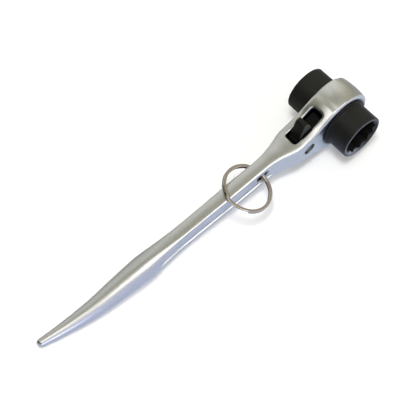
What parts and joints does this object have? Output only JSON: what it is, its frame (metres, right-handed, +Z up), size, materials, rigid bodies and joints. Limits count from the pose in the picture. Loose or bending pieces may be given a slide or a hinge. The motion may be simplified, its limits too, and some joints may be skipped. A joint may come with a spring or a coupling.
{
  "type": "ratchet podger",
  "caption": "Double-ended scaffold ratchet: black sockets on both faces of a ring head, a reversing rocker in the neck, and a chrome handle tapering to a bent podger tail, with a lanyard ring.",
  "frame": {"origin": "on the socket axis, in the middle plane of the handle", "axes": "+X along the handle to the podger tail, +Y along the socket axis to the front (larger) socket, +Z up with the tool standing on edge as pictured"},
  "size_m": [0.261, 0.052, 0.043],
  "materials": {
    "satin_chrome": "satin chrome plate on forged chrome-vanadium steel",
    "black_phosphate": "oiled black phosphate on chrome-molybdenum steel",
    "black_oxide": "black oxide on hardened steel",
    "bright_steel": "ground, oiled",
    "nickel_plate": "bright nickel plate on spring steel"
  },
  "bodies": {
    "handle": {"handle": "satin_chrome", "pawl_pin": "bright_steel", "detent_spring": "bright_steel"},
    "drive": {"ratchet_gear": "bright_steel", "front_socket": "black_phosphate", "rear_socket": "black_phosphate", "front_circlip": "bright_steel", "rear_circlip": "bright_steel"},
    "rocker": {"reversing_pawl": "black_oxide"},
    "ball": {"detent_ball": "bright_steel"},
    "lanyard": {"split_ring": "nickel_plate"}
  },
  "joints": [
    {"name": "socket_spin", "type": "hinge", "parent": "handle", "child": "drive", "pos_m": [0, 0, 0], "axis": [0, 1, 0], "continuous": true},
    {"name": "rocker_swing", "type": "hinge", "parent": "handle", "child": "rocker", "pos_m": [0.0298, 0, 0], "axis": [0, -1, 0], "range_deg": [-10, 10]},
    {"name": "detent_slide", "type": "slide", "parent": "handle", "child": "ball", "axis": [1, 0, 0], "range_m": [0, 0.0006], "stiffness_N_per_m": 700, "springref_m": -0.004, "deforming": ["detent_spring"]},
    {"name": "split_ring_swing", "type": "hinge", "parent": "handle", "child": "lanyard", "pos_m": [0.065, 0, 0], "axis": [0, -1, 0], "range_deg": [0, 115]}
  ]
}
